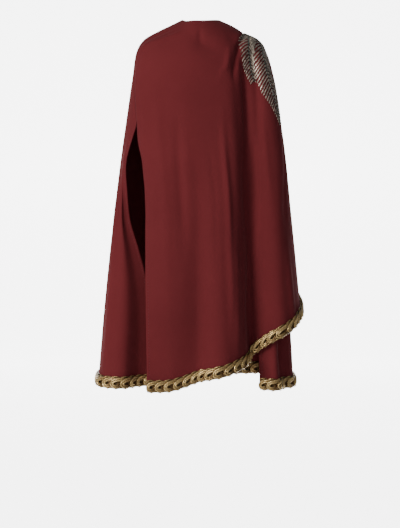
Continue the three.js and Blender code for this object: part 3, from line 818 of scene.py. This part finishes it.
def waving_cords_tree():
    """Parallel round cords that wave or loop along a flat guide, wrapped onto the guide's surface.

    The guide's own map counts repeats of the braid along it, and has the same scale across it.
    """
    nodes, given, result = node_group("Waving cords", "GeometryNodeTree", [
        ("INPUT", "Guide", "Geometry", None),
        ("INPUT", "Repeats", "Int", 10),
        ("INPUT", "Repeat Length", "Float", 0.03),
        ("INPUT", "Steps", "Int", 20),
        ("INPUT", "Cords", "Int", 1),
        ("INPUT", "Cord Gap", "Float", 0.0),
        ("INPUT", "Reach Along", "Float", 0.0),
        ("INPUT", "Middle", "Float", 0.0),
        ("INPUT", "Reach Across", "Float", 0.0),
        ("INPUT", "Phase", "Float", 0.0),
        ("INPUT", "Height", "Float", 0.0),
        ("INPUT", "Lift", "Float", 0.0),
        ("INPUT", "Cord Radius", "Float", 0.001),
        ("OUTPUT", "Cords", "Geometry", None),
    ])
    sums = nodes.maths

    def in_repeats(name):
        return sums("DIVIDE", given[name], given["Repeat Length"])

    count = sums("ADD", sums("MULTIPLY", given["Repeats"], given["Steps"]), 1.0)
    line = nodes.add("GeometryNodeMeshLine", {"Count": count}).outputs[0]
    curve = nodes.add("GeometryNodeMeshToCurve", {"Mesh": line}).outputs[0]
    index = nodes.add("GeometryNodeInputIndex").outputs[0]
    marked = nodes.store(curve, "repeat", sums("DIVIDE", index, given["Steps"]))
    copies = nodes.add("GeometryNodeDuplicateElements", {"Geometry": marked, "Amount": given["Cords"]},
                       domain="SPLINE")
    numbered = nodes.store(copies.outputs[0], "cord", copies.outputs["Duplicate Index"], domain="CURVE")

    repeat, cord = nodes.named("repeat"), nodes.named("cord")
    turn = sums("ADD", sums("MULTIPLY", repeat, math.tau), given["Phase"])
    sine, cosine = sums("SINE", turn), sums("COSINE", turn)
    reach_along, reach_across = in_repeats("Reach Along"), in_repeats("Reach Across")
    go_along = sums("ADD", 1.0, sums("MULTIPLY", sums("MULTIPLY", reach_along, math.tau), cosine))
    go_across = sums("MULTIPLY", sums("MULTIPLY", reach_across, math.tau), sine)
    squares = sums("MULTIPLY", go_along, go_along), sums("MULTIPLY", go_across, go_across)
    speed = sums("SQRT", sums("ADD", *squares))
    middle_cord = sums("MULTIPLY", sums("SUBTRACT", given["Cords"], 1.0), 0.5)
    beside = sums("MULTIPLY", sums("SUBTRACT", cord, middle_cord), in_repeats("Cord Gap"))
    beside = sums("DIVIDE", beside, speed)
    along = sums("ADD", repeat, sums("MULTIPLY", reach_along, sine))
    along = sums("SUBTRACT", along, sums("MULTIPLY", beside, go_across))
    along = sums("MINIMUM", sums("MAXIMUM", along, CORD_END), sums("SUBTRACT", given["Repeats"], CORD_END))
    across = sums("SUBTRACT", in_repeats("Middle"), sums("MULTIPLY", reach_across, cosine))
    across = sums("ADD", across, sums("MULTIPLY", beside, go_along))
    flat_place = nodes.add("ShaderNodeCombineXYZ", {"X": along, "Y": across}).outputs[0]
    height = sums("SUBTRACT", given["Height"], sums("MULTIPLY", given["Lift"], sine))

    guide_map, out = nodes.named("braid", "FLOAT_VECTOR"), nodes.named("out", "FLOAT_VECTOR")
    on_guide = []
    for field in (nodes.add("GeometryNodeInputPosition").outputs[0], out):
        sample = nodes.add("GeometryNodeSampleUVSurface", data_type="FLOAT_VECTOR")
        for socket, value in zip(sample.inputs, (given["Guide"], field, guide_map, flat_place)):
            nodes.feed(socket, value)
        on_guide.append(sample.outputs[0])
    raised = nodes.add("ShaderNodeVectorMath", {0: on_guide[1]}, operation="SCALE")
    nodes.feed(raised.inputs["Scale"], height)
    moved = nodes.add("ShaderNodeVectorMath", {0: on_guide[0], 1: raised.outputs[0]}, operation="ADD")
    # How high each cord rides. The gold material paints shade where it is low.
    risen = nodes.store(numbered, "cord_rise", sums("SUBTRACT", 0.5, sums("MULTIPLY", sine, 0.5)))
    laid = nodes.add("GeometryNodeSetPosition", {"Geometry": risen, "Position": moved.outputs[0]}).outputs[0]

    length = nodes.add("GeometryNodeSplineParameter").outputs["Length"]
    measured = nodes.store(laid, "cord_length", length)
    round_section = {"Resolution": CORD_SIDES, "Radius": given["Cord Radius"]}
    section = nodes.add("GeometryNodeCurvePrimitiveCircle", round_section).outputs[0]
    turn = sums("MULTIPLY", nodes.add("GeometryNodeSplineParameter").outputs["Factor"], math.tau)
    around = nodes.add("ShaderNodeCombineXYZ", {"X": sums("COSINE", turn), "Y": sums("SINE", turn)})
    turned = nodes.store(section, "cord_around", around.outputs[0], kind="FLOAT_VECTOR")
    swept = nodes.add("GeometryNodeCurveToMesh", {
        "Curve": measured, "Profile Curve": turned, "Fill Caps": True,
    })
    nodes.feed(result["Cords"], swept.outputs[0])
    return nodes.tree


def braid_tree(strands, waving_cords):
    """All the strands of the braid on one guide."""
    nodes, given, result = node_group("Looped cord braid", "GeometryNodeTree", [
        ("INPUT", "Guide", "Geometry", None),
        ("INPUT", "Repeats", "Int", 10),
        ("INPUT", "Repeat Length", "Float", 0.03),
        ("INPUT", "Material", "Material", None),
        ("OUTPUT", "Braid", "Geometry", None),
    ])
    joined = nodes.add("GeometryNodeJoinGeometry")
    for strand in strands:
        sizes = {
            "Cord Gap": "gap", "Reach Along": "reach_along", "Middle": "middle",
            "Reach Across": "reach_across", "Height": "height", "Lift": "lift", "Cord Radius": "radius",
        }
        cords = nodes.add("GeometryNodeGroup", node_tree=waving_cords)
        for name in ("Guide", "Repeats", "Repeat Length"):
            nodes.feed(cords.inputs[name], given[name])
        for name, size in sizes.items():
            nodes.feed(cords.inputs[name], strand[size] * MM)
        for name in ("Steps", "Cords", "Phase"):
            nodes.feed(cords.inputs[name], strand[name.lower()])
        nodes.tree.links.new(cords.outputs[0], joined.inputs[0])
    real = nodes.add("GeometryNodeRealizeInstances", {"Geometry": joined.outputs[0]}).outputs[0]
    smooth = nodes.add("GeometryNodeSetShadeSmooth", {"Geometry": real}).outputs[0]
    finished = nodes.add("GeometryNodeSetMaterial", {"Geometry": smooth, "Material": given["Material"]})
    nodes.feed(result["Braid"], finished.outputs[0])
    return nodes.tree


looped_braid = braid_tree(CORD_STRANDS, waving_cords_tree())


def hem_grid(panel, columns, half_width, rows, inset=0.0):
    """Points and normals of the strip of cloth that carries the braid."""
    foot, _ = panel.even_angles(columns)
    foot = foot[0] + (foot - foot[0]) * (1 - inset) + inset * (foot[-1] - foot[0]) / 2
    across = np.linspace(-half_width, half_width, rows + 1)
    down = (panel.hem(foot) - BRAID_WIDE / 2)[:, None] + across
    angle = panel.column_angle(foot[:, None], down)
    return panel.surface(angle, down), panel.normal(panel.cloth, angle, down), across


def braid_guide(panel, repeats):
    """The strip that the cords are wrapped onto, with its map."""
    columns = repeats * GUIDE_STEPS
    points, normals, across = hem_grid(panel, columns, GUIDE_HALF_WIDTH, GUIDE_ROWS)
    guide = mesh_object("guide", points * MM, grid_faces(columns, GUIDE_ROWS))
    keep_normals(guide.data, normals)
    along = np.broadcast_to(np.linspace(0, repeats, columns + 1)[:, None], points.shape[:2])
    give_map(guide.data, "braid", np.stack([along, np.broadcast_to(across / BRAID_REPEAT, along.shape)], -1))
    return guide


def braid_tape(name, panel, repeats, material):
    """The woven tape under the cords."""
    columns = repeats * TAPE_STEPS
    points, normals, _ = hem_grid(panel, columns, TAPE_HALF_WIDTH, TAPE_ROWS, inset=TAPE_END_SHORT)
    outer = points + normals * (TAPE_LIFT + TAPE_THICK)
    tape = mesh_object(name, outer * MM, grid_faces(columns, TAPE_ROWS), material)
    wall = tape.modifiers.new("Thickness", "SOLIDIFY")
    wall.thickness, wall.offset = TAPE_THICK * MM, -1
    return tape


def gold_cord():
    """Metal thread wound on a core and plied, with random tarnish, and painted shade in the grooves between
    plies and where a cord dips under the others.
    """
    bright, dark = (1.0, 0.72, 0.31, 1), (0.085, 0.040, 0.010, 1)
    material, nodes, shader = new_material("gold_cord")
    place = nodes.object_place()
    around, length = nodes.attribute("cord_around", "Vector"), nodes.attribute("cord_length")
    parts = nodes.add("ShaderNodeSeparateXYZ", {"Vector": around}).outputs
    angle = nodes.maths("ARCTAN2", parts["Y"], parts["X"])
    turns = nodes.maths("MULTIPLY", angle, CORD_PLIES), nodes.maths("MULTIPLY", length, CORD_TWIST)
    # The twist of the plies, high on their crowns and low in the grooves. It shapes the bump and darkens the
    # grooves as painted shade.
    crown = nodes.spread(nodes.maths("SINE", nodes.maths("ADD", *turns)), from_min=-1.9, from_max=-0.2)

    tarnish = uneven_tones(nodes, place, (bright, dark), 70.0, 900.0, 0.7)
    # Painted shade where a cord dips low under the others. The gold shows in full only where both masks are
    # high.
    painted_dip_shade = nodes.spread(nodes.attribute("cord_rise"), from_min=0.12, from_max=0.8, to_min=0.04)
    shown = nodes.maths("MULTIPLY", crown, painted_dip_shade)
    nodes.feed(shader.inputs["Base Color"], nodes.mix_colours(shown, dark, tarnish["Colour"]))
    nodes.feed(shader.inputs["Roughness"], nodes.spread(tarnish["Mask"], to_min=0.20, to_max=0.34))
    nodes.bump(shader, crown, strength=0.8, distance=0.0006)
    shader.inputs["Metallic"].default_value = 0.65
    return material


def bronze_tape():
    """Narrow tape woven with dark metal thread. Its dark tone is partly its own and partly painted shade for
    the gaps between the loops.
    """
    material, nodes, shader = new_material("bronze_tape")
    place = nodes.object_place()
    tones = (0.030, 0.016, 0.006, 1), (0.115, 0.062, 0.018, 1)
    nodes.feed(shader.inputs["Base Color"], uneven_tones(nodes, place, tones, 120.0, 1200.0, 0.9)["Colour"])
    nodes.bump(shader, nodes.noise(place, 1300.0, 2.0), strength=0.7, distance=0.0005)
    shader.inputs["Metallic"].default_value = 0.6
    shader.inputs["Roughness"].default_value = 0.5
    return material


gold, bronze = gold_cord(), bronze_tape()
for row in BRAIDS:
    cords = run_tree(row["name"] + "_cords", braid_guide(row["panel"], row["repeats"]), looped_braid, {
        "Repeats": row["repeats"], "Repeat Length": BRAID_REPEAT * MM, "Material": gold,
    })
    tape = braid_tape(row["name"] + "_tape", row["panel"], row["repeats"], bronze)
    cords.parent = tape.parent = CLOTH_OF[row["panel"]]
    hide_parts(row["node"])


# The bead embroidery on the left shoulder
# Two drooping fronds sewn through the drape: a spine of dark round beads with short rows of
# bugle beads on both sides, two threads to a row, wide over the shoulder and narrow at the tip.
BEAD_LIFT = 1.1
BARB_POINTS = 6
ROW_APART = 2.4
FRONDS = table(
    "name barb_apart barb_angle widths points",
    ("inner_frond", 10.5, 47, [(0, 18), (0.3, 26), (0.6, 21), (1, 7)],
     [(364, 80), (352, 96), (339.5, 114), (333.2, 140), (330.8, 172), (330.3, 205), (330.8, 238)]),
    ("outer_frond", 11.0, 46, [(0, 22), (0.3, 34), (0.65, 28), (1, 7)],
     [(378, 104), (367, 118), (353, 138), (345, 170), (341.6, 210), (341.6, 250), (343.5, 290), (346, 330)]),
)
SPINE_STEPS = 200
BARB_ROOT, BARB_CURVE = 0.08, 1.5


def frond_lines(frond):
    """The spine and the barbs of a frond, as lines on the drape."""
    angle, down = through_points(frond["points"], np.linspace(0, 1, SPINE_STEPS + 1))
    points = drape.surface(angle, down)
    lengths = lengths_along(points)
    total = lengths[-1]

    where = np.arange(0.5 * frond["barb_apart"], total, frond["barb_apart"])
    barb_angle, barb_down = np.interp(where, lengths, angle), np.interp(where, lengths, down)
    step = drape.ANGLE_STEP
    round_way = drape.cloth(barb_angle + step, barb_down) - drape.cloth(barb_angle - step, barb_down)
    per_degree = np.linalg.norm(round_way, axis=-1) / (2 * step)
    round_way = unit(round_way)
    fall_way = drape.cloth(barb_angle, barb_down + 1) - drape.cloth(barb_angle, barb_down - 1)
    per_down = np.linalg.norm(fall_way, axis=-1) / 2
    fall_way = unit(fall_way)
    slopes = np.gradient(points, lengths, axis=0)
    spine_way = unit(np.stack([np.interp(where, lengths, slopes[:, axis]) for axis in range(3)], -1))
    widths = np.interp(where / total, [w[0] for w in frond["widths"]], [w[1] for w in frond["widths"]])

    side_way = np.cross(np.cross(fall_way, round_way), spine_way)
    slant = 1 / math.tan(math.radians(frond["barb_angle"]))
    reach = np.linspace(BARB_ROOT, 1, BARB_POINTS)
    angles, downs = [], []
    for side in (-1, 1):
        for shift in (-ROW_APART / 2, ROW_APART / 2):
            sideways = (side * widths[:, None] * reach)[..., None] * side_way[:, None]
            onwards = (widths[:, None] * slant * reach ** BARB_CURVE + shift)[..., None] * spine_way[:, None]
            offset = sideways + onwards
            angles.append(barb_angle[:, None] + (offset * round_way[:, None]).sum(-1) / per_degree[:, None])
            downs.append(barb_down[:, None] + (offset * fall_way[:, None]).sum(-1) / per_down[:, None])
    angles, downs = np.concatenate(angles), np.concatenate(downs)
    barbs = list(zip(drape.surface(angles, downs), drape.normal(drape.cloth, angles, downs)))
    spine = [(points, drape.normal(drape.cloth, angle, down))]
    return spine, barbs


def bead_glass(name, dark, light, metallic, roughness):
    """Small glass beads, each a little lighter or darker than the next."""
    material, nodes, shader = new_material(name)
    tone = nodes.attribute("tone")
    place = nodes.object_place()
    lustre = nodes.noise(place, 500.0, 2.0)
    drift = nodes.maths("MULTIPLY", nodes.maths("SUBTRACT", lustre, 0.5), 0.8)
    part = nodes.add("ShaderNodeClamp", {"Value": nodes.maths("ADD", tone, drift)})
    nodes.feed(shader.inputs["Base Color"], nodes.mix_colours(part.outputs[0], dark, light))
    rough = nodes.spread(lustre, to_min=roughness * 0.6, to_max=roughness * 1.6)
    nodes.feed(shader.inputs["Roughness"], rough)
    shader.inputs["Metallic"].default_value = metallic
    shader.inputs["Coat Weight"].default_value = 0.25
    return material


pewter = bead_glass("pewter_bugles", (0.060, 0.050, 0.040, 1), (0.50, 0.42, 0.335, 1), 0.6, 0.40)
bottle = bead_glass("bottle_green_beads", (0.010, 0.016, 0.014, 1), (0.05, 0.07, 0.06, 1), 0.3, 0.2)
for number, frond in enumerate(FRONDS):
    spine, barbs = frond_lines(frond)
    bugles = run_tree(frond["name"] + "_bugles", line_object(barbs), pieces_along_lines, {
        "Spacing": 4.6 * MM, "Length": 4.2 * MM, "Radius": 1.4 * MM, "Lift": BEAD_LIFT * MM,
        "Unevenness": 0.12, "Seed": 11 + number, "Rods": True, "Material": pewter,
    })
    round_beads = run_tree(frond["name"] + "_spine", line_object(spine), pieces_along_lines, {
        "Spacing": 3.0 * MM, "Length": 3.4 * MM, "Radius": 2.0 * MM, "Lift": BEAD_LIFT * MM,
        "Unevenness": 0.15, "Seed": 21 + number, "Material": bottle,
    })
    for beads in (bugles, round_beads):
        beads.parent = drape_cloth


# The studio
# A pale floor that curves up into a backdrop, soft light from the upper left, and the camera at
# the photograph's angle: far off, a little above the middle of the cape.
FLOOR_Z = -2.0
CAMERA_TARGET = Vector((0.0, 0.0, -0.760))
CAMERA_PLACE = Vector((0.0, -4.188, -0.438))
LENS = 90.9
SWEEP_RADIUS = 1.5
SWEEP_BACK, SWEEP_FRONT, SWEEP_HALF, SWEEP_TOP = 6.0, -6.0, 4.5, 1.6
GLOW_FROM, GLOW_TO, GLOW = 0.5, 1.1, 5.6
GLOW_HALF, GLOW_EDGE = 2.0, 2.8
SWEEP_STEPS = 12
LIGHTS = table(
    "name place aim size power colour",
    ("key", (-3.1, -3.2, 0.75), (0, 0, -0.6), 1.8, 224, (1.0, 0.97, 0.94)),
    ("fill", (0.9, -4.3, 0.9), (0, 0, -0.7), 2.6, 16, (0.90, 0.93, 1.0)),
)
ROOM_COLOUR, ROOM_STRENGTH = (0.93, 0.95, 1.0, 1), 0.25
SENSOR_WIDTH = 36.0


def pale_sweep():
    """A sheet of pale board: flat floor, quarter curve, upright back. It glows behind the cape."""
    profile = [(SWEEP_FRONT, FLOOR_Z)]
    for turn in np.linspace(0, math.pi / 2, SWEEP_STEPS + 1):
        rise = SWEEP_RADIUS * (1 - math.cos(turn))
        profile.append((SWEEP_BACK + SWEEP_RADIUS * math.sin(turn), FLOOR_Z + rise))
    profile += [(SWEEP_BACK + SWEEP_RADIUS, SWEEP_TOP)]
    points = [(x, y, z) for y, z in profile for x in (SWEEP_HALF, -SWEEP_HALF)]
    faces = [(2 * k, 2 * k + 1, 2 * k + 3, 2 * k + 2) for k in range(len(profile) - 1)]
    material, nodes, shader = new_material("pale_board")
    place = nodes.object_place()
    tone = nodes.mix_colours(nodes.noise(place, 0.8), (0.90, 0.90, 0.90, 1), (0.94, 0.94, 0.94, 1))
    nodes.feed(shader.inputs["Base Color"], tone)
    shader.inputs["Roughness"].default_value = 0.9
    nodes.feed(shader.inputs["Emission Color"], tone)
    axes = nodes.add("ShaderNodeSeparateXYZ", {"Vector": place}).outputs
    behind = nodes.spread(axes["Y"], from_min=GLOW_FROM, from_max=GLOW_TO, to_max=GLOW)
    aside = nodes.maths("ABSOLUTE", axes["X"])
    narrow = nodes.spread(aside, from_min=GLOW_HALF, from_max=GLOW_EDGE, to_min=1.0, to_max=0.0)
    nodes.feed(shader.inputs["Emission Strength"], nodes.maths("MULTIPLY", behind, narrow))
    return mesh_object("studio_sweep", points, faces, material)


def soft_light(name, place, aim, size, power, colour):
    light = bpy.data.lights.new(name, "AREA")
    light.shape, light.size, light.energy, light.color = "DISK", size, power, colour
    lamp = bpy.data.objects.new(name, light)
    lamp.location = place
    lamp.rotation_euler = (Vector(aim) - Vector(place)).to_track_quat("-Z", "Y").to_euler()
    bpy.context.scene.collection.objects.link(lamp)


pale_sweep()
for row in LIGHTS:
    soft_light(**row)
world = bpy.data.worlds.new("studio")
world.use_nodes = True
world.node_tree.nodes["Background"].inputs["Color"].default_value = ROOM_COLOUR
world.node_tree.nodes["Background"].inputs["Strength"].default_value = ROOM_STRENGTH
bpy.context.scene.world = world

camera_data = bpy.data.cameras.new("camera")
camera_data.lens, camera_data.sensor_width = LENS, SENSOR_WIDTH
camera = bpy.data.objects.new("camera", camera_data)
camera.location = CAMERA_PLACE
camera.rotation_euler = (CAMERA_TARGET - CAMERA_PLACE).to_track_quat("-Z", "Y").to_euler()
bpy.context.scene.collection.objects.link(camera)
bpy.context.scene.camera = camera
